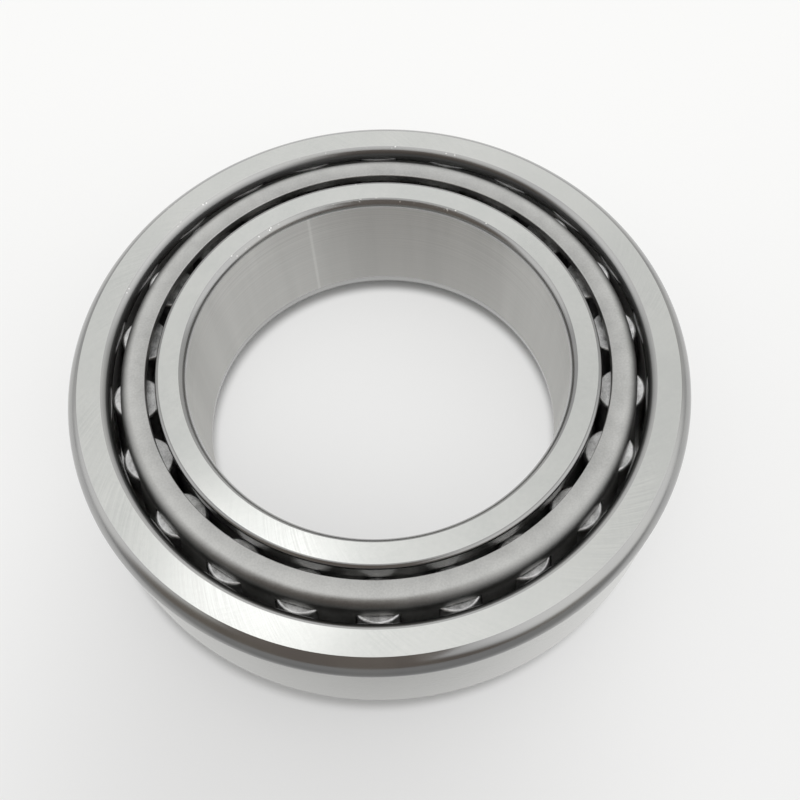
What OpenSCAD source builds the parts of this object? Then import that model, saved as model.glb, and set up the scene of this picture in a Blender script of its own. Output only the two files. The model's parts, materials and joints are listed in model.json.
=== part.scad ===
// Single-row tapered roller bearing, separable, with a pressed-steel cage.
// Millimetres. The bearing stands on the back face of its inner ring, at z = 0,
// with its axis along +z and the outer ring's wide face up.

/* [Ring widths] */
// Width of the inner ring, face to face
inner_w = 19.812; // [17:0.001:24]
// Assembled width, from the inner ring's back face to the outer ring's back face
assembled_w = 19.558; // [17:0.001:24]
// Width of the outer ring, face to face
outer_w = 15.748; // [12:0.001:18]

/* [Ring sections] */
// Bore diameter
bore_d = 45.242; // [36:0.001:55]
// Wall of the inner ring at the rollers' small ends
inner_wall = 3.2; // [2.4:0.05:4.5]
// Wall of the outer ring at the rollers' small ends
outer_wall = 5.1738; // [4.2:0.0001:6.5]
// Height of the inner ring's big rib above its raceway
big_rib_h = 1.9; // [1.2:0.05:2.6]
// Height of the inner ring's small rib above its raceway
small_rib_h = 0.4; // [0.35:0.05:0.8]

/* [Corners] */
// Radius of the bore corner at the back face, clear of a shaft's fillet
bore_back_r = 3.6; // [1.5:0.1:4]
// Radius that the bore corner at the front face is turned to
bore_front_r = 1.4; // [0.8:0.05:2]
// Radius of the big rib's back corner
big_rib_r = 0.8; // [0.2:0.05:1]
// Radius of the small rib's front corner
small_rib_r = 0.5; // [0.2:0.05:0.8]
// Radius that the outer ring's outer corner at the back face is turned to
outer_back_r = 2.5; // [1.2:0.1:3]
// Radius of the outer ring's outer corner at its front face
outer_front_r = 1.3; // [0.5:0.1:1.6]
// Radius that the corner of the outer raceway and the back face is turned to
raceway_back_r = 1.7; // [0.8:0.1:2.2]
// Radius where the outer raceway meets the front face
raceway_front_r = 0.4; // [0.1:0.05:0.7]
// Depth ground off a flat face after its corners are turned
face_ground = 0.18; // [0:0.01:0.3]
// Depth ground off a bore, an outside or a raceway after its corners are turned
round_ground = 0.015; // [0:0.005:0.05]
// Radius of the relief grooves beside the inner raceway
relief_r = 0.3; // [0.15:0.05:0.45]

/* [Rollers] */
// Number of rollers
roller_count = 22; // [16:1:25]
// Diameter of a roller at its small end
roller_small_d = 5.7; // [4.8:0.05:6.6]
// Slant of the roller axes to the bearing axis, in degrees
roller_slant = 10.6; // [8:0.1:13]
// Height of the rollers' large ends above the back face, on their axes
roller_foot_h = 4; // [3.4:0.05:5]
// Depth of the rollers' small ends below the inner ring's front face, on their axes
roller_head_depth = 2.65; // [2.3:0.05:3.4]
// Radius of the rollers' end corners
roller_corner_r = 0.35; // [0.1:0.05:0.6]
// Bearing angle of the first roller, in degrees
roller_phase = 6.6; // [0:0.1:360]

/* [Cage] */
// Thickness of the cage's sheet
cage_t = 1; // [0.7:0.05:1.2]
// Distance from the roller axes out to the inside of the cage's wall
cage_offset = 0.9; // [0.6:0.05:1.2]
// Depth of the cage's top flange below the inner ring's front face
cage_depth = 0.2; // [0.1:0.05:0.5]
// Gap between the small rib and the cage's flange
cage_flange_gap = 1.1; // [0.4:0.05:1.5]
// Inside radius of the bend between the cage's wall and flange
cage_bend_r = 0.3; // [0.1:0.05:0.6]
// Length of the plain rim past the rollers' large ends
cage_rim = 2.3; // [1.2:0.1:2.8]
// Radius on the edges of the cage's sheet
cage_edge_r = 0.15; // [0.05:0.05:0.3]

/* [Clearances] */
// Gap between the rollers and each raceway
running_gap = 0.06; // [0.03:0.01:0.12]
// Gap between the rollers' large ends and the big rib
rib_gap = 0.06; // [0.03:0.01:0.12]
// Gap between the rollers' small ends and the small rib
small_rib_gap = 0.3; // [0.15:0.05:0.4]
// Gap between the rollers and the sides of their pockets
pocket_gap = 0.12; // [0.06:0.01:0.2]
// Gap between the rollers and the ends of their pockets
pocket_end_gap = 0.2; // [0.1:0.05:0.4]

/* [Hidden] */
$fn = 96;
// Largest share of a thin wall that a corner radius may take
corner_share = 0.6;

// Rollers, measured along their axes from the apex where all the cones meet
roller_small_r = roller_small_d / 2;
pitch_small_r = roller_small_r + running_gap;
head_h = inner_w - roller_head_depth;
head_r = bore_d / 2 + inner_wall + pitch_small_r * cos(roller_slant);
head_reach = head_r / sin(roller_slant);
roller_len = (head_h - roller_foot_h) / cos(roller_slant);
foot_reach = head_reach + roller_len;
apex_h = head_h + head_reach * cos(roller_slant);
cone_half = atan(pitch_small_r / head_reach);
roller_large_r = foot_reach * tan(cone_half) - running_gap;
outer_slant = roller_slant + cone_half;

// Outer ring
outer_r = head_r + pitch_small_r * cos(roller_slant) + outer_wall;
outer_front_h = assembled_w - outer_w;
outer_front_wall = outer_r - outer_raceway(outer_front_h);

// Inner ring
bore_r = bore_d / 2;
rib_reach = foot_reach + rib_gap;
small_rib_reach = head_reach - small_rib_gap;
rib_corner = beside_roller(rib_reach, -rib_reach * tan(cone_half));
small_rib_corner = beside_roller(small_rib_reach, -small_rib_reach * tan(cone_half));
big_rib_r_out = rib_corner[0] + big_rib_h;
small_rib_r_out = small_rib_corner[0] + small_rib_h;
rib_rise = tan(roller_slant);

// Cage
cage_top = inner_w - cage_depth;
cage_under = cage_top - cage_t;
cage_flange_r = small_rib_r_out + cage_flange_gap;
cage_outside = cage_offset + cage_t;
cage_reach = foot_reach + pocket_end_gap + cage_rim;
cage_outer_corner = wall_at_height(cage_outside, cage_top);
cage_inner_corner = wall_at_height(cage_offset, cage_under);

ROLLERS = [for (i = [1:roller_count]) str("roller_", i < 10 ? "0" : "", i)];

// Radius of the outer raceway at a height
function outer_raceway(height) = (apex_h - height) * tan(outer_slant);

// Point in the section at a distance from the apex along a roller's axis, and off that axis
function beside_roller(reach, off) = [
    reach * sin(roller_slant) + off * cos(roller_slant),
    apex_h - reach * cos(roller_slant) + off * sin(roller_slant)
];

// Point in the section at a height, on a line beside the roller's axis
function wall_at_height(off, height) =
    beside_roller((apex_h - height + off * sin(roller_slant)) / cos(roller_slant), off);

function heading(angle) = [cos(angle), sin(angle)];

// What comes off a corner whose two edges leave it at the given angles, to round it.
// Grinding an edge after the rounding leaves less of it there.
module corner_waste(corner, edge_a, edge_b, radius, ground_a = 0, ground_b = 0) {
    angle = abs(edge_b - edge_a);
    from_a = (radius - ground_a) / sin(angle);
    from_b = (radius - ground_b) / sin(angle);
    difference() {
        polygon([
            corner - heading((edge_a + edge_b) / 2) * radius,
            corner + heading(edge_a) * (from_b + from_a * cos(angle)),
            corner + heading(edge_a) * from_b + heading(edge_b) * from_a,
            corner + heading(edge_b) * (from_a + from_b * cos(angle))
        ]);
        translate(corner + heading(edge_a) * from_b + heading(edge_b) * from_a) circle(r = radius);
    }
}

module outer_ring_section() {
    back_race = [outer_raceway(assembled_w), assembled_w];
    front_race = [outer_raceway(outer_front_h), outer_front_h];
    front_r = min(outer_front_r, outer_front_wall * corner_share);
    difference() {
        polygon([front_race, [outer_r, outer_front_h], [outer_r, assembled_w], back_race]);
        corner_waste([outer_r, assembled_w], 180, 270, outer_back_r, face_ground, round_ground);
        corner_waste([outer_r, outer_front_h], 90, 180, front_r);
        corner_waste(back_race, -90 + outer_slant, 0, raceway_back_r, round_ground, face_ground);
        corner_waste(front_race, 0, 90 + outer_slant, raceway_front_r);
    }
}

module inner_ring_section() {
    rib_top = rib_corner[1] + big_rib_h * rib_rise;
    small_rib_foot = small_rib_corner[1] + small_rib_h * rib_rise;
    difference() {
        polygon([
            [bore_r, 0],
            [big_rib_r_out, 0],
            [big_rib_r_out, rib_top],
            rib_corner,
            small_rib_corner,
            [small_rib_r_out, small_rib_foot],
            [small_rib_r_out, inner_w],
            [bore_r, inner_w]
        ]);
        corner_waste([bore_r, 0], 0, 90, bore_back_r);
        corner_waste([bore_r, inner_w], -90, 0, bore_front_r, round_ground, face_ground);
        corner_waste([big_rib_r_out, 0], 90, 180, big_rib_r);
        corner_waste([small_rib_r_out, inner_w], 180, 270, small_rib_r);
        translate(rib_corner) circle(r = relief_r);
        translate(small_rib_corner) circle(r = relief_r);
    }
}

module cage_section() {
    foot_in = beside_roller(cage_reach, cage_offset);
    foot_out = beside_roller(cage_reach, cage_outside);
    wall_down = -90 + roller_slant;
    difference() {
        polygon([
            [cage_flange_r, cage_under],
            cage_inner_corner,
            foot_in,
            foot_out,
            cage_outer_corner,
            [cage_flange_r, cage_top]
        ]);
        corner_waste(cage_outer_corner, 180, 270 + roller_slant, cage_bend_r + cage_t);
        corner_waste([cage_flange_r, cage_top], -90, 0, cage_edge_r);
        corner_waste(foot_in, roller_slant, 90 + roller_slant, cage_edge_r);
        corner_waste(foot_out, 90 + roller_slant, 180 + roller_slant, cage_edge_r);
    }
    corner_waste(cage_inner_corner, 180, 360 + wall_down, cage_bend_r);
}

// Puts a shape that stands on its axis into the place of a roller's large end
module at_roller(index) {
    foot = beside_roller(foot_reach, 0);
    rotate([0, 0, roller_phase + index * 360 / roller_count])
        translate([foot[0], 0, foot[1]])
            rotate([0, -roller_slant, 0])
                children();
}

module roller_section() {
    taper = atan((roller_large_r - roller_small_r) / roller_len);
    difference() {
        polygon([[0, 0], [roller_large_r, 0], [roller_small_r, roller_len], [0, roller_len]]);
        corner_waste([roller_large_r, 0], 90 + taper, 180, roller_corner_r);
        corner_waste([roller_small_r, roller_len], 180, 270 + taper, roller_corner_r);
    }
}

module pocket() {
    translate([0, 0, -pocket_end_gap])
        cylinder(
            h = roller_len + 2 * pocket_end_gap,
            r1 = roller_large_r + pocket_gap,
            r2 = roller_small_r + pocket_gap
        );
}

module outer_ring() {
    color("lightgray") rotate_extrude() outer_ring_section();
}

module inner_ring() {
    color("lightgray") rotate_extrude() inner_ring_section();
}

module cage() {
    color("darkgray")
        difference() {
            rotate_extrude() cage_section();
            for (i = [0:roller_count - 1]) at_roller(i) pocket();
        }
}

module roller(index) {
    color("silver") at_roller(index) rotate_extrude() roller_section();
}

outer_ring();
inner_ring();
cage();
for (i = [0:roller_count - 1])
    roller(i);
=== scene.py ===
"""Tapered roller bearing: smooth rings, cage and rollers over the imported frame, in steel finishes."""
import json
import math

import bmesh
import bpy
from mathutils import Matrix, Vector


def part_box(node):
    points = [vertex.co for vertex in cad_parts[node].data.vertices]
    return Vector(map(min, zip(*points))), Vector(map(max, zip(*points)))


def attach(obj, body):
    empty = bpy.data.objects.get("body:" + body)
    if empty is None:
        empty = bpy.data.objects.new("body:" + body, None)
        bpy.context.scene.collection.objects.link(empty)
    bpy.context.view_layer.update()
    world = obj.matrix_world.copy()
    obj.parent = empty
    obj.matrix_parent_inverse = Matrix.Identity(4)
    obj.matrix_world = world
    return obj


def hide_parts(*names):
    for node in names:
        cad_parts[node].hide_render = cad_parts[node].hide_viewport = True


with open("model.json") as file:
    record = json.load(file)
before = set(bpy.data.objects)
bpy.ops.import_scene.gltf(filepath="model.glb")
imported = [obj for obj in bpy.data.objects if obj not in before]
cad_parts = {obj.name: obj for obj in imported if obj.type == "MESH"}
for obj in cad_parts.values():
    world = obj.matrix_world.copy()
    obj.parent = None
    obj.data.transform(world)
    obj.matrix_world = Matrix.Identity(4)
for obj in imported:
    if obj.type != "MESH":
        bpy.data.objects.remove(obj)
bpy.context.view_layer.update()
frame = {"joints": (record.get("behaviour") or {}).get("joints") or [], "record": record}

MM = 0.001

# Sizes and places that the frame gives
mounts = {mount["name"]: mount for mount in frame["record"]["mounts"]}
body_joints = {joint["child"]: joint for joint in frame["joints"]}
roller_joints = {body: joint for body, joint in body_joints.items() if body.startswith("roller_")}
first_roller = roller_joints["roller_01"]
BORE_R = mounts["bore"]["dims"]["r_mm"] * MM
OUTER_R = mounts["outside"]["dims"]["r_mm"] * MM
OUTER_FRONT_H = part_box("outer_ring")[0].z
OUTER_BACK_H = mounts["outer_back_face"]["pos_m"][2]
INNER_W = mounts["front_face"]["pos_m"][2]
ROLLER_SLANT = math.acos(first_roller["axis"][2])
FOOT_R = math.hypot(first_roller["pos_m"][0], first_roller["pos_m"][1])
FOOT_H = first_roller["pos_m"][2]

# Sizes of the bearing that the frame doesn't state
ROLLER_HEAD_DEPTH = 2.65 * MM
ROLLER_SMALL_R = 2.85 * MM
ROLLER_CORNER_R = 0.35 * MM
RUNNING_GAP = 0.06 * MM
RIB_GAP = 0.06 * MM
SMALL_RIB_GAP = 0.3 * MM
BIG_RIB_H = 1.9 * MM
SMALL_RIB_H = 0.4 * MM
RELIEF_R = 0.3 * MM
BORE_BACK_R = 3.6 * MM
BORE_FRONT_R = 1.4 * MM
BIG_RIB_R = 0.8 * MM
SMALL_RIB_R = 0.5 * MM
OUTER_BACK_R = 2.5 * MM
OUTER_FRONT_R = 1.3 * MM
RACEWAY_BACK_R = 1.7 * MM
RACEWAY_FRONT_R = 0.4 * MM
FACE_GROUND = 0.18 * MM
ROUND_GROUND = 0.015 * MM
CAGE_T = 1.0 * MM
CAGE_OFFSET = 0.9 * MM
CAGE_DEPTH = 0.2 * MM
CAGE_FLANGE_GAP = 1.1 * MM
CAGE_BEND_R = 0.3 * MM
CAGE_RIM = 2.3 * MM
CAGE_EDGE_R = 0.15 * MM
POCKET_GAP = 0.12 * MM
POCKET_END_GAP = 0.2 * MM
EDGE_BREAK = 0.06 * MM

SQUARE = math.radians(90)
# A face whose normal lies this near the axis counts as flat
FLAT = 0.999

# The cones of the bearing all meet at one apex on its axis
APEX_H = FOOT_H + FOOT_R / math.tan(ROLLER_SLANT)
FOOT_REACH = FOOT_R / math.sin(ROLLER_SLANT)
HEAD_H = INNER_W - ROLLER_HEAD_DEPTH
ROLLER_LEN = (HEAD_H - FOOT_H) / math.cos(ROLLER_SLANT)
HEAD_REACH = FOOT_REACH - ROLLER_LEN
CONE_HALF = math.atan((ROLLER_SMALL_R + RUNNING_GAP) / HEAD_REACH)
ROLLER_LARGE_R = FOOT_REACH * math.tan(CONE_HALF) - RUNNING_GAP
OUTER_SLANT = ROLLER_SLANT + CONE_HALF

# The room: a pale floor, soft light, and dark patches on the camera's side
FLOOR_SIZE = 3.0
# The floor's colour in the open, and its colour under the bearing, darker as painted shade
FLOOR_COLOUR = (0.9, 0.9, 0.9, 1)
FLOOR_PAINTED_SHADE = (0.7, 0.7, 0.7, 1)
FLOOR_ROUGHNESS = 0.9
FLOOR_SPECULAR = 0.1
# The colour of its glow, near and far, and the depths between which that changes
FLOOR_NEAR = (0.89, 0.89, 0.89, 1)
FLOOR_FAR = (1.01, 1.01, 1.00, 1)
FLOOR_FADE = (-80 * MM, 80 * MM)
# How much of the floor is glow, to the camera and in the steel
FLOOR_GLOW = 0.6
FLOOR_GLOW_IN_STEEL = 0.9
# The painted shade under the bearing: the radii where it starts, is full, starts to end and is gone, and
# its share
FLOOR_SHADE = (22 * MM, 23.8 * MM, 36 * MM, 37.5 * MM, 0.95)
# The painted shade starts round the axis, and ends round a point a little to the left of it
AXIS_FOOT = (0, 0, 0)
SHADE_MIDDLE = (-0.7 * MM, 0, 0)
# The camera's soft shade on the floor: its middle, its reach in full and until it is gone, and its share
CAMERA_SHADE = ((-14 * MM, -46 * MM, 0), 6 * MM, 55 * MM, 0.22)
# Where the floor darkens in the steel, towards the camera's side, and what is left of it there
FLOOR_END = (-58 * MM, -33 * MM, 0.40)
# The room's colour low down and high up, and how far up it changes, where 1 is overhead
ROOM_LOW = (0.62, 0.62, 0.62, 1)
ROOM_HIGH = (0.96, 0.96, 0.95, 1)
ROOM_RISE = (0.05, 0.75)
# Each patch: its bearing and height, its reach in full and until it is gone, in degrees, and its colour
ROOM_PATCHES = (
    (0, 90, 6, 26, (1.06, 1.06, 1.05, 1)),
    (90, 10, 18, 42, (0.92, 0.92, 0.91, 1)),
    (147, 20, 8, 26, (0.72, 0.72, 0.71, 1)),
    (33, 20, 8, 24, (0.76, 0.76, 0.74, 1)),
    (-20, 34, 22, 42, (1.38, 1.38, 1.37, 1)),
    (180, 27, 9, 29, (1.28, 1.28, 1.27, 1)),
    (56, 58, 4, 18, (0.80, 0.80, 0.79, 1)),
    (126, 56, 4, 16, (0.84, 0.84, 0.83, 1)),
    (262, -25, 46, 60, (0.22, 0.19, 0.165, 1)),
    (224, 12, 14, 36, (0.25, 0.22, 0.19, 1)),
    (314, -6, 12, 24, (0.28, 0.25, 0.22, 1)),
)
# A dark card in the lens's plane, mirrored in the steel: its sides, its ends up and down, and its colour
CARD_SIDES = (-85 * MM, 25 * MM)
CARD_ENDS = (-165 * MM, 8 * MM)
CARD_COLOUR = (0.255, 0.222, 0.198, 1)
# The lamp: the way to it, its distance and width, and how bright its face is
LAMP_WAY = (-0.170, 0.260, 0.95)
LAMP_DISTANCE = 0.8
LAMP_SIZE = 0.17
LAMP_RADIANCE = 0.88
# The camera, with its sensor and lens in millimetres and its angles in degrees
SENSOR_WIDTH = 36.0
LENS = 41.013
CLIP_START = 5 * MM
CAMERA_PLACE = (2.383 * MM, -55.441 * MM, 111.262 * MM)
CAMERA_ELEVATION = 61.834
CAMERA_ROLL = -2.475

# How finely round things are cut
RING_SIDES = 440
ROLLER_SIDES = 96
CORNER_STEPS = 12
SMALL_CORNER_STEPS = 5
RELIEF_STEPS = 18
MERGE = 0.0005 * MM
SMOOTH_ANGLE = math.radians(20)


def outer_raceway(height):
    """Radius of the outer ring's raceway at a height."""
    return (APEX_H - height) * math.tan(OUTER_SLANT)


def beside_roller(reach, off):
    """Section point at a distance from the apex along a roller's axis, and off that axis."""
    return (
        reach * math.sin(ROLLER_SLANT) + off * math.cos(ROLLER_SLANT),
        APEX_H - reach * math.cos(ROLLER_SLANT) + off * math.sin(ROLLER_SLANT),
    )


def wall_at_height(off, height):
    """Section point at a height, on a line beside a roller's axis."""
    return beside_roller((APEX_H - height + off * math.sin(ROLLER_SLANT)) / math.cos(ROLLER_SLANT), off)


def corner_length(radius, corner_angle):
    """How far a rounding of this radius reaches along each side of a corner."""
    return radius / math.tan(corner_angle / 2)


def arc(centre, radius, start, end, steps):
    """Section points on an arc."""
    points = []
    for step in range(steps + 1):
        angle = start + (end - start) * step / steps
        points.append((centre[0] + radius * math.cos(angle), centre[1] + radius * math.sin(angle)))
    return points


def ground_corner(centre, radius, face_way, round_way):
    """Section points of a corner turned to a radius, then ground down on its face and its round side."""
    face_cut = math.acos(1 - FACE_GROUND / radius)
    round_cut = math.acos(1 - ROUND_GROUND / radius)
    if round_way < face_way:
        return arc(centre, radius, round_way + round_cut, face_way - face_cut, CORNER_STEPS)
    return arc(centre, radius, face_way + face_cut, round_way - round_cut, CORNER_STEPS)


# Modelling by hand
def open_mesh(piece):
    """Start editing one piece, with nothing selected in it."""
    bpy.ops.object.select_all(action="DESELECT")
    piece.select_set(True)
    bpy.context.view_layer.objects.active = piece
    bpy.ops.object.mode_set(mode="EDIT")
    bpy.ops.mesh.select_mode(type="VERT")
    bpy.ops.mesh.select_all(action="DESELECT")


def close_mesh():
    """Stop editing the piece."""
    bpy.ops.object.mode_set(mode="OBJECT")


def select_loop(piece, corner):
    """Select the round edge at one corner of a turned piece's section."""
    mesh = bmesh.from_edit_mesh(piece.data)
    bpy.ops.mesh.select_mode(type="EDGE")
    for edge in mesh.edges:
        places = [(math.hypot(vertex.co.x, vertex.co.y), vertex.co.z) for vertex in edge.verts]
        edge.select_set(all(math.dist(place, corner) < 2 * MERGE for place in places))
    bmesh.update_edit_mesh(piece.data)


def select_faces(piece, wanted):
    """Select the faces whose radius, height and normal a rule wants."""
    mesh = bmesh.from_edit_mesh(piece.data)
    bpy.ops.mesh.select_mode(type="FACE")
    for face in mesh.faces:
        middle = face.calc_center_median()
        face.select_set(wanted(math.hypot(middle.x, middle.y), middle.z, face.normal))
    bmesh.update_edit_mesh(piece.data)


def finish_selection(piece, finish):
    """Give the selected faces a finish, adding it to the piece if it is new there."""
    slots = [slot.material for slot in piece.material_slots]
    if finish not in slots:
        piece.data.materials.append(finish)
        slots.append(finish)
    piece.active_material_index = slots.index(finish)
    bpy.ops.object.material_slot_assign()


def turned_ring(name, section, finish):
    """A ring turned about the bearing's axis: a circle extruded along the points of a closed section."""
    bpy.ops.object.select_all(action="DESELECT")
    radius, height = section[0]
    bpy.ops.mesh.primitive_circle_add(vertices=RING_SIDES, radius=radius, location=(0, 0, height))
    ring = bpy.context.object
    ring.name = name
    ring.data.name = name
    ring.data.materials.append(finish)
    bpy.ops.object.transform_apply(location=True, rotation=True, scale=True)
    bpy.ops.object.mode_set(mode="EDIT")
    bpy.ops.mesh.select_all(action="SELECT")
    for next_radius, next_height in section[1:] + section[:1]:
        growth = next_radius / radius
        bpy.ops.mesh.extrude_edges_indiv()
        bpy.ops.transform.resize(value=(growth, growth, 1), center_override=(0, 0, 0))
        bpy.ops.transform.translate(value=(0, 0, next_height - height))
        radius, height = next_radius, next_height
    bpy.ops.mesh.select_all(action="SELECT")
    bpy.ops.mesh.remove_doubles(threshold=MERGE)
    bpy.ops.mesh.normals_make_consistent(inside=False)
    bpy.ops.object.mode_set(mode="OBJECT")
    return ring


def round_corner(ring, corner, radius, corner_angle, finish, steps=CORNER_STEPS):
    """Round one corner of a turned piece and give the rounding its finish."""
    open_mesh(ring)
    select_loop(ring, corner)
    bpy.ops.mesh.bevel(
        offset=corner_length(radius, corner_angle),
        offset_type="OFFSET",
        segments=steps,
        profile=0.5,
        affect="EDGES",
        clamp_overlap=False,
    )
    finish_selection(ring, finish)
    close_mesh()


def finish_where(piece, finish, wanted):
    """Give a finish to the faces that a rule wants."""
    open_mesh(piece)
    select_faces(piece, wanted)
    finish_selection(piece, finish)
    close_mesh()


def smooth(piece):
    """Shade curved faces smooth, keep flat faces flat and sharp edges sharp."""
    bpy.ops.object.select_all(action="DESELECT")
    piece.select_set(True)
    bpy.context.view_layer.objects.active = piece
    bpy.ops.object.shade_smooth_by_angle(angle=SMOOTH_ANGLE)
    bpy.ops.object.modifier_add(type="WEIGHTED_NORMAL")
    piece.modifiers[-1].keep_sharp = True
    bpy.ops.object.modifier_apply(modifier=piece.modifiers[-1].name)


def stand_in(piece, node):
    """Let a finished piece stand for its node: it rides that node's body, and the node is hidden."""
    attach(piece, node)
    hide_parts(node)


# Building materials
MM_PER_M = 1000.0
# The radius, in millimetres, at which lengths round the bearing are true
MEAN_RADIUS = 30.0
# The share of a knock's size where its mask, and so its painted glint, is full
KNOCK_CORE = 0.4
FLOAT = "NodeSocketFloat"
VECTOR = "NodeSocketVector"
# Where a Mix node keeps its two colours and what they give
MIX_FIRST, MIX_SECOND, MIX_RESULT = 6, 7, 2


def add(tree, kind, links=(), **settings):
    """Add a node, set its properties and plug its inputs: a number or colour is set, a socket is wired."""
    node = tree.nodes.new(kind)
    for name, value in settings.items():
        setattr(node, name, value)
    for key, value in dict(links).items():
        if isinstance(value, bpy.types.NodeSocket):
            tree.links.new(value, node.inputs[key])
        else:
            node.inputs[key].default_value = value
    return node


def calc(tree, operation, first, second=0.0, third=0.0):
    """One sum on values."""
    return add(tree, "ShaderNodeMath", {0: first, 1: second, 2: third}, operation=operation).outputs[0]


def weigh(tree, *parts):
    """Add up values, each with its share."""
    total = 0.0
    for value, share in parts:
        total = calc(tree, "MULTIPLY_ADD", value, share, total)
    return total


def spread(tree, value, low, high, new_low=0.0, new_high=1.0):
    """Stretch a value from one range to another, and hold it there."""
    links = {"Value": value, "From Min": low, "From Max": high, "To Min": new_low, "To Max": new_high}
    return add(tree, "ShaderNodeMapRange", links, interpolation_type="SMOOTHSTEP").outputs["Result"]


def between(tree, value, ends):
    """Stretch a value that runs from 0 to 1 between two ends."""
    return spread(tree, value, 0.0, 1.0, *ends)


def soften(tree, lines, strength):
    """Weaken lines towards their middle tone."""
    middle = 0.5
    return calc(tree, "MULTIPLY_ADD", calc(tree, "SUBTRACT", lines, middle), strength, middle)


def noise(tree, place, scale, detail=2.0, roughness=0.5):
    """Soft noise over a place."""
    links = {"Vector": place, "Scale": scale, "Detail": detail, "Roughness": roughness}
    return add(tree, "ShaderNodeTexNoise", links).outputs["Fac"]


def mix_colour(tree, share, first, second):
    """Mix two colours by a mask."""
    links = {"Factor": share, MIX_FIRST: first, MIX_SECOND: second}
    return add(tree, "ShaderNodeMix", links, data_type="RGBA").outputs[MIX_RESULT]


def in_millimetres(tree, place):
    """A place in metres, as millimetres."""
    return add(tree, "ShaderNodeVectorMath", {0: place, "Scale": MM_PER_M}, operation="SCALE").outputs[0]


def new_group(name, inputs, outputs):
    """A shader node group with named sockets; inputs give (name, kind, default)."""
    tree = bpy.data.node_groups.new(name, "ShaderNodeTree")
    for label, kind, default in inputs:
        socket = tree.interface.new_socket(label, in_out="INPUT", socket_type=kind)
        if default is not None:
            socket.default_value = default
    for label, kind in outputs:
        tree.interface.new_socket(label, in_out="OUTPUT", socket_type=kind)
    source = tree.nodes.new("NodeGroupInput")
    result = tree.nodes.new("NodeGroupOutput")
    return tree, source.outputs, result.inputs


def round_place_group():
    """Where a point lies round an axis: length round it and radius and height, all in millimetres."""
    tree, given, result = new_group(
        "round_place",
        [("Place", VECTOR, None), ("Mean radius", FLOAT, MEAN_RADIUS)],
        [("Round", FLOAT), ("Radius", FLOAT), ("Height", FLOAT)],
    )
    split = add(tree, "ShaderNodeSeparateXYZ", {0: given["Place"]}).outputs
    x_mm = calc(tree, "MULTIPLY", split["X"], MM_PER_M)
    y_mm = calc(tree, "MULTIPLY", split["Y"], MM_PER_M)
    turn = calc(tree, "ARCTAN2", x_mm, calc(tree, "MULTIPLY", y_mm, -1.0))
    squares = calc(tree, "ADD", calc(tree, "MULTIPLY", x_mm, x_mm), calc(tree, "MULTIPLY", y_mm, y_mm))
    tree.links.new(calc(tree, "MULTIPLY", turn, given["Mean radius"]), result["Round"])
    tree.links.new(calc(tree, "SQRT", squares), result["Radius"])
    tree.links.new(calc(tree, "MULTIPLY", split["Z"], MM_PER_M), result["Height"])
    return tree


def grinding_lines_group():
    """Fine lines left by grinding: long along one way, thin across it."""
    tree, given, result = new_group(
        "grinding_lines",
        [
            ("Along", FLOAT, 0.0),
            ("Across", FLOAT, 0.0),
            ("Slant", FLOAT, 0.0),
            ("Line length", FLOAT, 8.0),
            ("Line width", FLOAT, 0.1),
            ("Set", FLOAT, 0.0),
        ],
        [("Lines", FLOAT)],
    )
    cosine = calc(tree, "COSINE", given["Slant"])
    sine = calc(tree, "SINE", given["Slant"])
    back = calc(tree, "MULTIPLY", sine, -1.0)
    along = weigh(tree, (given["Along"], cosine), (given["Across"], sine))
    across = weigh(tree, (given["Across"], cosine), (given["Along"], back))
    links = {
        "X": calc(tree, "DIVIDE", along, given["Line length"]),
        "Y": calc(tree, "DIVIDE", across, given["Line width"]),
        "Z": given["Set"],
    }
    place = add(tree, "ShaderNodeCombineXYZ", links).outputs[0]
    fine = noise(tree, place, scale=1.0, detail=3.0, roughness=0.6)
    tree.links.new(spread(tree, fine, low=0.3, high=0.7), result["Lines"])
    return tree


def mottle_group():
    """Cloudy patches and a fine speckle on steel that wasn't ground."""
    tree, given, result = new_group(
        "mottle",
        [("Place", VECTOR, None), ("Patch size", FLOAT, 6.0), ("Grain size", FLOAT, 0.3)],
        [("Patches", FLOAT), ("Grain", FLOAT)],
    )
    place = in_millimetres(tree, given["Place"])
    patch_scale = calc(tree, "DIVIDE", 1.0, given["Patch size"])
    grain_scale = calc(tree, "DIVIDE", 1.0, given["Grain size"])
    patches = noise(tree, place, patch_scale, detail=3.0, roughness=0.55)
    grain = noise(tree, place, grain_scale, detail=2.0, roughness=0.6)
    tree.links.new(spread(tree, patches, low=0.3, high=0.7), result["Patches"])
    tree.links.new(spread(tree, grain, low=0.25, high=0.75), result["Grain"])
    return tree


def nicks_group():
    """Small knocks scattered over a surface, as a mask that the corners fill with a painted glint."""
    tree, given, result = new_group(
        "nicks",
        [("Place", VECTOR, None), ("Spacing", FLOAT, 2.0), ("Size", FLOAT, 0.1)],
        [("Nicks", FLOAT)],
    )
    links = {
        "Vector": in_millimetres(tree, given["Place"]),
        "Scale": calc(tree, "DIVIDE", 1.0, given["Spacing"]),
    }
    cells = add(tree, "ShaderNodeTexVoronoi", links).outputs["Distance"]
    reach = calc(tree, "DIVIDE", given["Size"], given["Spacing"])
    core = calc(tree, "MULTIPLY", reach, KNOCK_CORE)
    tree.links.new(spread(tree, cells, core, reach, 1.0, 0.0), result["Nicks"])
    return tree


ROUND_PLACE = round_place_group()
GRINDING_LINES = grinding_lines_group()
MOTTLE = mottle_group()
NICKS = nicks_group()


def use(tree, group, links=()):
    """Place a node group and plug its inputs."""
    return add(tree, "ShaderNodeGroup", links, node_tree=group).outputs


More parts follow.
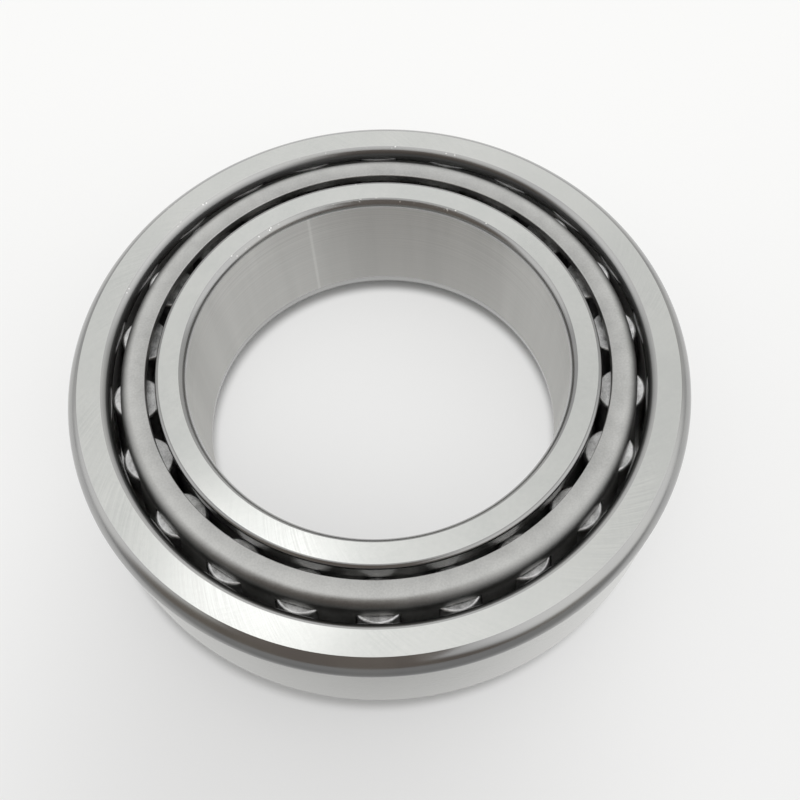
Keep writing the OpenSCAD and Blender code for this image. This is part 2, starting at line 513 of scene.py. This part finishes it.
def new_material(name):
    """An empty material: its tree, its shader and the piece's own coordinates."""
    material = bpy.data.materials.new(name)
    material.use_nodes = True
    tree = material.node_tree
    tree.nodes.clear()
    shader = tree.nodes.new("ShaderNodeBsdfPrincipled")
    output = tree.nodes.new("ShaderNodeOutputMaterial")
    tree.links.new(shader.outputs["BSDF"], output.inputs["Surface"])
    place = tree.nodes.new("ShaderNodeTexCoord").outputs["Object"]
    return material, tree, shader, place


def new_steel(name, brushed=0.0):
    """An empty steel material, brushed round the bearing's axis or not at all."""
    material, tree, shader, place = new_material(name)
    shader.inputs["Metallic"].default_value = 1.0
    if brushed:
        quarter_turn = 0.25
        shader.inputs["Anisotropic"].default_value = brushed
        shader.inputs["Anisotropic Rotation"].default_value = quarter_turn
        tangent = add(tree, "ShaderNodeTangent", direction_type="RADIAL", axis="Z")
        tree.links.new(tangent.outputs["Tangent"], shader.inputs["Tangent"])
    return material, tree, shader, place


def plug(tree, shader, colour, roughness, height, strength, depth_mm):
    """Plug a finish into its shader: its colour, its roughness, and a height that stands up from it."""
    tree.links.new(colour, shader.inputs["Base Color"])
    tree.links.new(roughness, shader.inputs["Roughness"])
    links = {"Strength": strength, "Distance": depth_mm * MM, "Height": height}
    tree.links.new(add(tree, "ShaderNodeBump", links).outputs["Normal"], shader.inputs["Normal"])


def grey(level, warmth=0.0):
    """A steel colour: a grey that warmth turns towards yellow."""
    return (level, level, level * (1 - warmth), 1.0)


# Finishes; a length without MM is in millimetres, as the groups above give it
# Shares of fine and of broad detail in the tone of the bore, the cage and the round surfaces; on the cage
# the broad part is painted light towards the bend
FINE_SHARE, BROAD_SHARE = 0.65, 0.35

# Ground faces: dark and light colour, and roughness
FACE_COLOURS = ((0.586, 0.598, 0.584, 1), (0.692, 0.694, 0.676, 1))
FACE_ROUGHNESS = (0.15, 0.24)
# Each set of grinding lines on a face: its slant in radians, the width of a line and its share
FACE_LINES = ((0.8, 0.14, 0.7), (-0.7, 0.11, 0.3))
# How far apart the two sets are taken from the noise
FACE_SET_STEP = 3.0
# The tones of a face's areas between which its lines grow stronger, and from what to what
FACE_LINES_RISE = (0.2, 0.8, 0.3, 1.0)
# How strong the lines' relief is for their share of the tone
FACE_RELIEF = 0.1

# Round surfaces: how brushed they are, and what their dark and light tones have of their level and warmth
LINED_BRUSHED = 0.6
LINED_DARK = 0.9
LINED_LIGHT = 1.08
LINED_LIGHT_WARMTH = 0.6

# Corners: what their dark and light tones have of their level, the light one's warmth, and roughness
CORNER_DARK = 0.95
CORNER_LIGHT = 1.05
CORNER_WARMTH = 0.02
CORNER_ROUGHNESS = (0.17, 0.24)
# Painted shade on a corner, darker down into the gap below the face, and the colour it lightens to further
# down
GAP_SHADE_COLOUR = grey(0.20)
LOWER_CORNER_COLOUR = grey(0.46)
# Knocks on corners, real in their bump and a painted glint in their bright colour: that colour, and the
# heights, depths towards the far side and tones of patches between which they begin
KNOCK_GLINT_COLOUR = grey(0.9, 0.02)
KNOCKED_EDGE = (19.35, 19.5)
GLINT_SIDE = (4 * MM, 14 * MM)
WORN = (0.4, 0.7)

# The bore: dark and light colour, roughness, and how brushed it is
BORE_COLOURS = ((0.465, 0.463, 0.450, 1), (0.635, 0.632, 0.615, 1))
BORE_ROUGHNESS = (0.46, 0.54)
BORE_BRUSHED = 0.9
# The heights between which its lines grow stronger towards the front face, and from what to what
BORE_LINES_RISE = (8.0, 19.0, 0.35, 1.0)
# Its painted highlight, a thin bright line along it: how far round from the far side, half its width in
# full and until gone, its share and colour
HIGHLIGHT_LINE = 8.67
HIGHLIGHT_WIDTH = (0.06, 0.3)
HIGHLIGHT_SHARE = 0.28
HIGHLIGHT_COLOUR = (0.85, 0.85, 0.83, 1)

# The cage's sheet: dark and light colour, roughness, and the shares of patches and grain in its pitting
SHEET_COLOURS = (grey(0.37, 0.02), grey(0.60, 0.02))
SHEET_ROUGHNESS = (0.38, 0.48)
PITTING_SHARES = (0.5, 0.5)
# Radii between which painted light makes the flange lighter, and painted shade makes its bend darker
FLANGE_PAINTED_LIGHT = (27.3, 29.0)
BEND_PAINTED_SHADE = (29.0, 30.0)
# Heights between which the bend's painted shade goes over into the wall below it, and how deep the painted
# shade is
BEND_END = (17.4, 18.6)
BEND_SHADE_DEPTH = 0.6

# Rollers: the attribute with each point's place on the roller's own axis, and the radius its lines go by
ROLLER_PLACE = "roller_place"
ROLLER_MEAN_RADIUS = 3.0
# Shares of grain, patches and lines in a roller's tone
ROLLER_SHARES = (0.25, 0.55, 0.2)


def ground_face(name, lines_share, cloud_share, speck_share):
    """A ring's flat face: satin steel under two sets of crossing grinding lines, fainter in some areas."""
    material, tree, shader, place = new_steel(name)
    where = use(tree, ROUND_PLACE, {"Place": place})
    sets = []
    for number, (slant, width, share) in enumerate(FACE_LINES):
        links = {
            "Along": where["Round"],
            "Across": where["Radius"],
            "Slant": slant,
            "Line length": 7.0,
            "Line width": width,
            "Set": FACE_SET_STEP * number,
        }
        sets.append((use(tree, GRINDING_LINES, links)["Lines"], share))
    areas = use(tree, MOTTLE, {"Place": place, "Patch size": 15.0})["Patches"]
    lines = soften(tree, weigh(tree, *sets), spread(tree, areas, *FACE_LINES_RISE))
    cloud = use(tree, MOTTLE, {"Place": place, "Patch size": 7.0, "Grain size": 0.5})
    shares = (lines_share, cloud_share, speck_share)
    tone = weigh(tree, *zip((lines, cloud["Patches"], cloud["Grain"]), shares))
    colour = mix_colour(tree, tone, *FACE_COLOURS)
    roughness = between(tree, lines, FACE_ROUGHNESS)
    relief = lines_share * FACE_RELIEF
    plug(tree, shader, colour, roughness, height=lines, strength=relief, depth_mm=0.0035)
    return material


def lined_steel(name, level, warmth, rough_range, line_width, depth_mm):
    """A turned or ground round surface, with lines that run round the axis."""
    material, tree, shader, place = new_steel(name, brushed=LINED_BRUSHED)
    where = use(tree, ROUND_PLACE, {"Place": place})
    across = calc(tree, "ADD", where["Height"], where["Radius"])
    links = {"Along": where["Round"], "Across": across, "Line length": 25.0, "Line width": line_width}
    lines = use(tree, GRINDING_LINES, links)["Lines"]
    patches = use(tree, MOTTLE, {"Place": place, "Patch size": 5.0})["Patches"]
    tone = weigh(tree, (lines, FINE_SHARE), (patches, BROAD_SHARE))
    dark = grey(level * LINED_DARK, warmth)
    light = grey(level * LINED_LIGHT, warmth * LINED_LIGHT_WARMTH)
    colour = mix_colour(tree, tone, dark, light)
    roughness = between(tree, tone, rough_range)
    plug(tree, shader, colour, roughness, height=lines, strength=0.15, depth_mm=depth_mm)
    return material


def turned_corner(name, level, fade_mm=0.0):
    """A corner that was turned and hardened but never ground: smooth, with knocks at its edge whose bump is
    real and whose brightness on the far side is a painted glint.
    It can take painted shade that darkens it over a depth below the face, and lightens again as far below
    that."""
    material, tree, shader, place = new_steel(name)
    where = use(tree, ROUND_PLACE, {"Place": place})
    patches = use(tree, MOTTLE, {"Place": place, "Patch size": 9.0})["Patches"]
    colour = mix_colour(tree, patches, grey(level * CORNER_DARK), grey(level * CORNER_LIGHT, CORNER_WARMTH))
    # Painted shade: the corner darkens down into the gap below the face, and lightens again further down
    if fade_mm:
        face_mm = OUTER_BACK_H / MM
        near_face = spread(tree, where["Height"], face_mm - fade_mm, face_mm)
        below = spread(tree, where["Height"], face_mm - 2 * fade_mm, face_mm - fade_mm)
        scale = mix_colour(tree, below, LOWER_CORNER_COLOUR, GAP_SHADE_COLOUR)
        colour = mix_colour(tree, near_face, scale, colour)
    clusters = use(tree, MOTTLE, {"Place": place, "Patch size": 14.0, "Grain size": 0.9})
    depth = add(tree, "ShaderNodeSeparateXYZ", {0: place}).outputs["Y"]
    knock_glints = use(tree, NICKS, {"Place": place, "Spacing": 0.55, "Size": 0.16})["Nicks"]
    for mask in (
        spread(tree, clusters["Patches"], *WORN),
        spread(tree, clusters["Grain"], *WORN),
        spread(tree, where["Height"], *KNOCKED_EDGE),
        spread(tree, depth, *GLINT_SIDE),
    ):
        knock_glints = calc(tree, "MULTIPLY", knock_glints, mask)
    # Painted glint: knocks near the face edge on the far side are painted bright
    colour = mix_colour(tree, knock_glints, colour, KNOCK_GLINT_COLOUR)
    roughness = between(tree, patches, CORNER_ROUGHNESS)
    plug(tree, shader, colour, roughness, height=knock_glints, strength=0.4, depth_mm=0.03)
    return material


def honed_bore():
    """The bore: satin, with fine lines round it, broad soft streaks along it and one thin painted highlight
    along it.
    Its place is turned half round, which puts the seam of the pattern on the near side."""
    material, tree, shader, place = new_steel("honed_bore", brushed=BORE_BRUSHED)
    half_turn = (-1, -1, 1)
    turned = add(tree, "ShaderNodeVectorMath", {0: place, 1: half_turn}, operation="MULTIPLY")
    where = use(tree, ROUND_PLACE, {"Place": turned.outputs[0], "Mean radius": BORE_R / MM})
    links = {"Along": where["Round"], "Across": where["Height"], "Line length": 30.0, "Line width": 0.16}
    lines = use(tree, GRINDING_LINES, links)["Lines"]
    links = {"Along": where["Height"], "Across": where["Round"], "Line length": 90.0, "Line width": 6.0}
    streaks = use(tree, GRINDING_LINES, links)["Lines"]
    lines = soften(tree, lines, spread(tree, where["Height"], *BORE_LINES_RISE))
    tone = weigh(tree, (lines, FINE_SHARE), (streaks, BROAD_SHARE))
    colour = mix_colour(tree, tone, *BORE_COLOURS)
    # Painted highlight: a thin bright line along the bore
    off_line = calc(tree, "ABSOLUTE", calc(tree, "SUBTRACT", where["Round"], HIGHLIGHT_LINE))
    painted_highlight = spread(tree, off_line, *HIGHLIGHT_WIDTH, HIGHLIGHT_SHARE, 0.0)
    colour = mix_colour(tree, painted_highlight, colour, HIGHLIGHT_COLOUR)
    roughness = between(tree, tone, BORE_ROUGHNESS)
    plug(tree, shader, colour, roughness, height=lines, strength=0.1, depth_mm=0.004)
    return material


def pressed_sheet():
    """The cage's sheet: matt and finely pitted by pressing and tumbling, with painted light on its flange
    towards the bend and painted shade on the bend.
    """
    material, tree, shader, place = new_steel("pressed_sheet")
    where = use(tree, ROUND_PLACE, {"Place": place})
    cloud = use(tree, MOTTLE, {"Place": place, "Patch size": 3.0, "Grain size": 0.22})
    pitting = weigh(tree, *zip((cloud["Patches"], cloud["Grain"]), PITTING_SHARES))
    # Painted light: the flange grows lighter towards the bend
    painted_light_to_bend = spread(tree, where["Radius"], *FLANGE_PAINTED_LIGHT)
    tone = weigh(tree, (pitting, FINE_SHARE), (painted_light_to_bend, BROAD_SHARE))
    colour = mix_colour(tree, tone, *SHEET_COLOURS)
    # Painted shade: the bend darkens, fading out into the wall below
    outward = spread(tree, where["Radius"], *BEND_PAINTED_SHADE)
    upward = spread(tree, where["Height"], *BEND_END, 0.0, BEND_SHADE_DEPTH)
    painted_bend_shade = calc(tree, "MULTIPLY", outward, upward)
    colour = mix_colour(tree, painted_bend_shade, colour, grey(0.0))
    roughness = between(tree, pitting, SHEET_ROUGHNESS)
    plug(tree, shader, colour, roughness, height=pitting, strength=0.25, depth_mm=0.02)
    return material


def roller_steel(name, across, colours, rough_range, depth_mm):
    """A roller's ground side or its tumbled end, with lines round the roller's own axis."""
    material, tree, shader, place = new_steel(name)
    own = add(tree, "ShaderNodeAttribute", attribute_name=ROLLER_PLACE).outputs["Vector"]
    where = use(tree, ROUND_PLACE, {"Place": own, "Mean radius": ROLLER_MEAN_RADIUS})
    links = {"Along": where["Round"], "Across": where[across], "Line length": 5.0, "Line width": 0.08}
    lines = use(tree, GRINDING_LINES, links)["Lines"]
    cloud = use(tree, MOTTLE, {"Place": place, "Patch size": 1.3, "Grain size": 0.25})
    tone = weigh(tree, *zip((cloud["Grain"], cloud["Patches"], lines), ROLLER_SHARES))
    colour = mix_colour(tree, tone, *colours)
    roughness = between(tree, tone, rough_range)
    plug(tree, shader, colour, roughness, height=tone, strength=0.4, depth_mm=depth_mm)
    return material


OUTER_FACE = ground_face("outer_face_steel", lines_share=0.6, cloud_share=0.25, speck_share=0.15)
INNER_FACE = ground_face("inner_face_steel", lines_share=0.2, cloud_share=0.35, speck_share=0.2)
OUTSIDE = lined_steel(
    "ground_outside", level=0.62, warmth=0.04, rough_range=(0.2, 0.28), line_width=0.1, depth_mm=0.002
)
RACEWAY = lined_steel(
    "raceway_steel", level=0.55, warmth=0.02, rough_range=(0.34, 0.42), line_width=0.06, depth_mm=0.001
)
RIB = lined_steel(
    "rib_steel", level=0.50, warmth=0.04, rough_range=(0.22, 0.34), line_width=0.1, depth_mm=0.004
)
CORNER = turned_corner("turned_corner", level=0.37)
RACE_CORNER = turned_corner("raceway_corner", level=0.46, fade_mm=0.62)
RIB_CORNER = turned_corner("rib_corner", level=0.33)
BORE = honed_bore()
SHEET = pressed_sheet()
ROLLER_SIDE = roller_steel(
    "roller_side_steel",
    across="Height",
    colours=(grey(0.32), grey(0.5)),
    rough_range=(0.3, 0.4),
    depth_mm=0.004,
)
ROLLER_END = roller_steel(
    "roller_end_steel",
    across="Radius",
    colours=(grey(0.30), grey(0.95)),
    rough_range=(0.34, 0.5),
    depth_mm=0.03,
)


def is_up(radius, height, normal):
    """A flat face that looks up."""
    return normal.z > FLAT


def is_down(radius, height, normal):
    """A flat face that looks down."""
    return normal.z < -FLAT


def make_outer_ring():
    """Outer ring: a conical raceway inside, flat faces and rounded corners."""
    front_race = (outer_raceway(OUTER_FRONT_H), OUTER_FRONT_H)
    front_edge = (OUTER_R, OUTER_FRONT_H)
    outer_turning = (OUTER_R - OUTER_BACK_R + ROUND_GROUND, OUTER_BACK_H - OUTER_BACK_R + FACE_GROUND)
    race_turning_h = OUTER_BACK_H - RACEWAY_BACK_R + FACE_GROUND
    race_inset = (RACEWAY_BACK_R - ROUND_GROUND) / math.cos(OUTER_SLANT)
    race_turning_r = outer_raceway(race_turning_h) + race_inset
    race_lean = ROUND_GROUND / RACEWAY_BACK_R - math.sin(OUTER_SLANT)
    section = [front_race, front_edge]
    section += ground_corner(outer_turning, OUTER_BACK_R, SQUARE, 0.0)
    race_turning = (race_turning_r, race_turning_h)
    section += ground_corner(race_turning, RACEWAY_BACK_R, SQUARE, 2 * SQUARE + OUTER_SLANT)
    ring = turned_ring("outer_ring_steel", section, RACEWAY)

    def is_outer_corner(radius, height, normal):
        return radius > race_turning_r and height > outer_turning[1]

    def is_race_corner(radius, height, normal):
        return radius < race_turning_r and normal.z > race_lean

    def is_outside(radius, height, normal):
        return radius > OUTER_R - ROUND_GROUND / 2

    finish_where(ring, CORNER, is_outer_corner)
    finish_where(ring, RACE_CORNER, is_race_corner)
    finish_where(ring, OUTSIDE, is_outside)
    finish_where(ring, OUTER_FACE, is_up)
    finish_where(ring, OUTER_FACE, is_down)
    round_corner(ring, front_edge, OUTER_FRONT_R, SQUARE, CORNER)
    round_corner(ring, front_race, RACEWAY_FRONT_R, SQUARE + OUTER_SLANT, CORNER, SMALL_CORNER_STEPS)
    smooth(ring)
    stand_in(ring, "outer_ring")


def make_inner_ring():
    """Inner ring: bore, conical raceway between a big and a small rib, and relief grooves."""
    rib_reach = FOOT_REACH + RIB_GAP
    small_rib_reach = HEAD_REACH - SMALL_RIB_GAP
    rib_corner = beside_roller(rib_reach, -rib_reach * math.tan(CONE_HALF))
    small_corner = beside_roller(small_rib_reach, -small_rib_reach * math.tan(CONE_HALF))
    rib_rise = math.tan(ROLLER_SLANT)
    rib_r = rib_corner[0] + BIG_RIB_H
    small_rib_r = small_corner[0] + SMALL_RIB_H
    rib_top = (rib_r, rib_corner[1] + BIG_RIB_H * rib_rise)
    small_foot = (small_rib_r, small_corner[1] + SMALL_RIB_H * rib_rise)
    small_front = (small_rib_r, INNER_W)
    bore_back = (BORE_R, 0.0)
    rib_back = (rib_r, 0.0)
    race_slant = ROLLER_SLANT - CONE_HALF
    turn = 4 * SQUARE
    low_groove = arc(rib_corner, RELIEF_R, ROLLER_SLANT, SQUARE + race_slant - turn, RELIEF_STEPS)
    high_groove = arc(small_corner, RELIEF_R, race_slant - SQUARE, ROLLER_SLANT - turn, RELIEF_STEPS)
    bore_turning = (BORE_R + BORE_FRONT_R - ROUND_GROUND, INNER_W - BORE_FRONT_R + FACE_GROUND)
    section = [bore_back, rib_back, rib_top] + low_groove + high_groove + [small_foot, small_front]
    section += ground_corner(bore_turning, BORE_FRONT_R, SQUARE, 2 * SQUARE)
    ring = turned_ring("inner_ring_steel", section, RACEWAY)

    def is_rib(radius, height, normal):
        return radius > small_rib_r - SMALL_RIB_R and not rib_top[1] < height < small_foot[1]

    def is_bore(radius, height, normal):
        return radius < BORE_R + ROUND_GROUND / 2

    def is_bore_corner(radius, height, normal):
        return radius < bore_turning[0] and height > bore_turning[1]

    finish_where(ring, RIB, is_rib)
    finish_where(ring, BORE, is_bore)
    finish_where(ring, CORNER, is_bore_corner)
    finish_where(ring, INNER_FACE, is_up)
    finish_where(ring, INNER_FACE, is_down)
    round_corner(ring, bore_back, BORE_BACK_R, SQUARE, CORNER)
    round_corner(ring, rib_back, BIG_RIB_R, SQUARE, CORNER)
    round_corner(ring, small_front, SMALL_RIB_R, SQUARE, RIB_CORNER)
    for corner in (rib_top, small_foot):
        round_corner(ring, corner, EDGE_BREAK, SQUARE, RIB, SMALL_CORNER_STEPS)
    smooth(ring)
    stand_in(ring, "inner_ring")
    return small_rib_r


def place_roller(angle):
    """Where a shape that stands on its axis goes to become the roller at this angle."""
    foot = Matrix.Translation((FOOT_R, 0, FOOT_H))
    lean = Matrix.Rotation(-ROLLER_SLANT, 4, "Y")
    return Matrix.Rotation(angle, 4, "Z") @ foot @ lean


def roller_angle(name):
    """Where a roller stands round the bearing."""
    x, y = roller_joints[name]["pos_m"][:2]
    return math.atan2(y, x)


def cut_pockets(cage):
    """Cut a pocket for each roller through the cage's wall."""
    length = ROLLER_LEN + 2 * POCKET_END_GAP
    middle = ROLLER_LEN / 2
    bpy.ops.object.select_all(action="DESELECT")
    cutters = []
    for name in roller_joints:
        bpy.ops.mesh.primitive_cone_add(
            vertices=ROLLER_SIDES,
            radius1=ROLLER_LARGE_R + POCKET_GAP,
            radius2=ROLLER_SMALL_R + POCKET_GAP,
            depth=length,
        )
        cutter = bpy.context.object
        cutter.matrix_world = place_roller(roller_angle(name)) @ Matrix.Translation((0, 0, middle))
        cutters.append(cutter)
    for cutter in cutters:
        cutter.select_set(True)
    bpy.ops.object.join()
    punch = bpy.context.object
    bpy.ops.object.select_all(action="DESELECT")
    cage.select_set(True)
    bpy.context.view_layer.objects.active = cage
    bpy.ops.object.modifier_add(type="BOOLEAN")
    cage.modifiers[-1].operation = "DIFFERENCE"
    cage.modifiers[-1].object = punch
    cage.modifiers[-1].solver = "EXACT"
    bpy.ops.object.modifier_apply(modifier=cage.modifiers[-1].name)
    bpy.data.objects.remove(punch)


def make_cage(small_rib_r):
    """Cage: a slanted wall with a pocket for each roller and an inward flange, from one sheet."""
    top = INNER_W - CAGE_DEPTH
    under = top - CAGE_T
    flange_r = small_rib_r + CAGE_FLANGE_GAP
    outside = CAGE_OFFSET + CAGE_T
    reach = FOOT_REACH + POCKET_END_GAP + CAGE_RIM
    flange_under = (flange_r, under)
    flange_top = (flange_r, top)
    bend_in = wall_at_height(CAGE_OFFSET, under)
    bend_out = wall_at_height(outside, top)
    foot_in = beside_roller(reach, CAGE_OFFSET)
    foot_out = beside_roller(reach, outside)
    section = [flange_under, bend_in, foot_in, foot_out, bend_out, flange_top]
    cage = turned_ring("cage_steel", section, SHEET)
    bend_angle = SQUARE + ROLLER_SLANT
    round_corner(cage, bend_out, CAGE_BEND_R + CAGE_T, bend_angle, SHEET)
    round_corner(cage, bend_in, CAGE_BEND_R, bend_angle, SHEET, SMALL_CORNER_STEPS)
    for corner in (flange_top, foot_in, foot_out):
        round_corner(cage, corner, CAGE_EDGE_R, SQUARE, SHEET, SMALL_CORNER_STEPS)
    round_corner(cage, flange_under, EDGE_BREAK, SQUARE, SHEET, SMALL_CORNER_STEPS)
    cut_pockets(cage)
    smooth(cage)
    stand_in(cage, "cage")


def make_rollers():
    """One roller is turned and finished on its own axis, and copied to each place."""
    bpy.ops.object.select_all(action="DESELECT")
    bpy.ops.mesh.primitive_cone_add(
        vertices=ROLLER_SIDES,
        radius1=ROLLER_LARGE_R,
        radius2=ROLLER_SMALL_R,
        depth=ROLLER_LEN,
        location=(0, 0, ROLLER_LEN / 2),
    )
    pattern = bpy.context.object
    pattern.data.materials.append(ROLLER_SIDE)
    bpy.ops.object.transform_apply(location=True, rotation=True, scale=True)
    finish_where(pattern, ROLLER_END, is_up)
    finish_where(pattern, ROLLER_END, is_down)
    for corner in ((ROLLER_LARGE_R, 0.0), (ROLLER_SMALL_R, ROLLER_LEN)):
        round_corner(pattern, corner, ROLLER_CORNER_R, SQUARE, ROLLER_END, SMALL_CORNER_STEPS)
    smooth(pattern)
    own_place = pattern.data.attributes.new(ROLLER_PLACE, "FLOAT_VECTOR", "POINT")
    for vertex, value in zip(pattern.data.vertices, own_place.data):
        value.vector = vertex.co
    for name in roller_joints:
        roller = pattern.copy()
        roller.data = pattern.data.copy()
        roller.name = f"{name}_steel"
        roller.data.name = roller.name
        bpy.context.collection.objects.link(roller)
        roller.data.transform(place_roller(roller_angle(name)))
        stand_in(roller, name)
    bpy.data.objects.remove(pattern)


make_outer_ring()
small_rib_r = make_inner_ring()
make_cage(small_rib_r)
make_rollers()


# Floor, light and camera
def distance(tree, place, point):
    """How far a place is from a point."""
    return add(tree, "ShaderNodeVectorMath", {0: place, 1: point}, operation="DISTANCE").outputs["Value"]


def painted_shade_under(tree, place):
    """Mask of the painted shade under the bearing: it darkens the floor's colour and holds back its glow.
    """
    start, full, ending, gone, share = FLOOR_SHADE
    begun = spread(tree, distance(tree, place, AXIS_FOOT), start, full)
    left = spread(tree, distance(tree, place, SHADE_MIDDLE), ending, gone, share, 0.0)
    return calc(tree, "MULTIPLY", begun, left)


def floor_light(tree, place, depth, mirrored):
    """The floor's glow: less in the camera's shade, and in the steel less on the camera's side."""
    middle, full, gone, share = CAMERA_SHADE
    light = spread(tree, distance(tree, place, middle), full, gone, 1.0 - share, 1.0)
    dark, clear, left = FLOOR_END
    end = calc(tree, "MULTIPLY", mirrored, spread(tree, depth, dark, clear, 1.0 - left, 0.0))
    return calc(tree, "MULTIPLY", light, calc(tree, "SUBTRACT", 1.0, end))


def make_floor():
    """A pale floor: it takes shadows, has painted shade under the bearing, and shows pale to the camera and
    in the steel.
    """
    bpy.ops.object.select_all(action="DESELECT")
    bpy.ops.mesh.primitive_plane_add(size=FLOOR_SIZE)
    floor = bpy.context.object
    floor.name = "floor"
    material, tree, shader, place = new_material("pale_floor")
    shader.inputs["Roughness"].default_value = FLOOR_ROUGHNESS
    shader.inputs["Specular IOR Level"].default_value = FLOOR_SPECULAR
    under = painted_shade_under(tree, place)
    # Painted shade: the floor's colour turns darker under the bearing
    tree.links.new(mix_colour(tree, under, FLOOR_COLOUR, FLOOR_PAINTED_SHADE), shader.inputs["Base Color"])
    depth = add(tree, "ShaderNodeSeparateXYZ", {0: place}).outputs["Y"]
    rays = tree.nodes.new("ShaderNodeLightPath").outputs
    mirrored = calc(tree, "MAXIMUM", rays["Is Glossy Ray"], rays["Is Transmission Ray"])
    glow_colour = mix_colour(tree, spread(tree, depth, *FLOOR_FADE), FLOOR_NEAR, FLOOR_FAR)
    light = floor_light(tree, place, depth, mirrored)
    glow = add(tree, "ShaderNodeEmission", {"Color": glow_colour, "Strength": light})
    share = weigh(tree, (rays["Is Camera Ray"], FLOOR_GLOW), (mirrored, FLOOR_GLOW_IN_STEEL))
    # Painted shade: the glow is held back under the bearing
    share = calc(tree, "MULTIPLY", share, calc(tree, "SUBTRACT", 1.0, under))
    surface = add(tree, "ShaderNodeMixShader", {0: share, 1: shader.outputs[0], 2: glow.outputs[0]})
    output = next(node for node in tree.nodes if node.type == "OUTPUT_MATERIAL")
    tree.links.new(surface.outputs[0], output.inputs["Surface"])
    floor.data.materials.append(material)


def make_room():
    """A pale room, dimmer low down, with soft patches that the steel mirrors."""
    world = bpy.data.worlds.new("pale_room")
    bpy.context.scene.world = world
    world.use_nodes = True
    tree = world.node_tree
    tree.nodes.clear()
    way = tree.nodes.new("ShaderNodeTexCoord").outputs["Generated"]
    height = add(tree, "ShaderNodeSeparateXYZ", {0: way}).outputs["Z"]
    colour = mix_colour(tree, spread(tree, height, *ROOM_RISE), ROOM_LOW, ROOM_HIGH)
    for bearing, rise, inner, outer, patch in ROOM_PATCHES:
        turn = Matrix.Rotation(math.radians(bearing), 3, "Z")
        middle = turn @ Vector((math.cos(math.radians(rise)), 0, math.sin(math.radians(rise))))
        nearness = add(tree, "ShaderNodeVectorMath", {0: way, 1: middle}, operation="DOT_PRODUCT")
        toward = nearness.outputs["Value"]
        mask = spread(tree, toward, math.cos(math.radians(outer)), math.cos(math.radians(inner)))
        colour = mix_colour(tree, mask, colour, patch)
    seen = tree.nodes.new("ShaderNodeLightPath").outputs["Is Camera Ray"]
    colour = mix_colour(tree, seen, colour, FLOOR_FAR)
    room = add(tree, "ShaderNodeBackground", {"Color": colour, "Strength": 1.0})
    output = tree.nodes.new("ShaderNodeOutputWorld")
    tree.links.new(room.outputs[0], output.inputs["Surface"])


def make_lamp():
    """One soft lamp high on the left."""
    lamp = bpy.data.lights.new("soft_lamp", "AREA")
    lamp.shape = "DISK"
    lamp.size = LAMP_SIZE
    area = math.pi * LAMP_SIZE ** 2 / 4
    lamp.energy = LAMP_RADIANCE * math.pi * area
    lamp_object = bpy.data.objects.new("soft_lamp", lamp)
    bpy.context.scene.collection.objects.link(lamp_object)
    way = Vector(LAMP_WAY).normalized()
    turn = way.to_track_quat("Z", "Y").to_matrix().to_4x4()
    lamp_object.matrix_world = Matrix.Translation(way * LAMP_DISTANCE) @ turn


def make_card(eye):
    """A dark card that the camera looks past: only the steel mirrors it."""
    bpy.ops.object.select_all(action="DESELECT")
    bpy.ops.mesh.primitive_plane_add(size=1.0)
    card = bpy.context.object
    card.name = "dark_card"
    size = Matrix.Diagonal((CARD_SIDES[1] - CARD_SIDES[0], CARD_ENDS[1] - CARD_ENDS[0], 1, 1))
    middle = Matrix.Translation((sum(CARD_SIDES) / 2, sum(CARD_ENDS) / 2, 0))
    card.data.transform(eye.matrix_world @ middle @ size)
    material = bpy.data.materials.new("dark_card")
    material.use_nodes = True
    tree = material.node_tree
    tree.nodes.clear()
    glow = add(tree, "ShaderNodeEmission", {"Color": CARD_COLOUR, "Strength": 1.0})
    output = tree.nodes.new("ShaderNodeOutputMaterial")
    tree.links.new(glow.outputs[0], output.inputs["Surface"])
    card.data.materials.append(material)
    card.visible_camera = False
    card.visible_diffuse = False
    card.visible_shadow = False


def make_camera():
    """The camera, placed from the bearing's known circles."""
    camera = bpy.data.cameras.new("camera")
    camera.sensor_width = SENSOR_WIDTH
    camera.lens = LENS
    camera.clip_start = CLIP_START
    eye = bpy.data.objects.new("camera", camera)
    bpy.context.scene.collection.objects.link(eye)
    tilt = Matrix.Rotation(SQUARE - math.radians(CAMERA_ELEVATION), 4, "X")
    roll = Matrix.Rotation(math.radians(CAMERA_ROLL), 4, "Z")
    eye.matrix_world = Matrix.Translation(CAMERA_PLACE) @ tilt @ roll
    bpy.context.scene.camera = eye
    return eye


make_floor()
make_room()
make_lamp()
make_card(make_camera())
bpy.context.scene.view_settings.view_transform = "Standard"
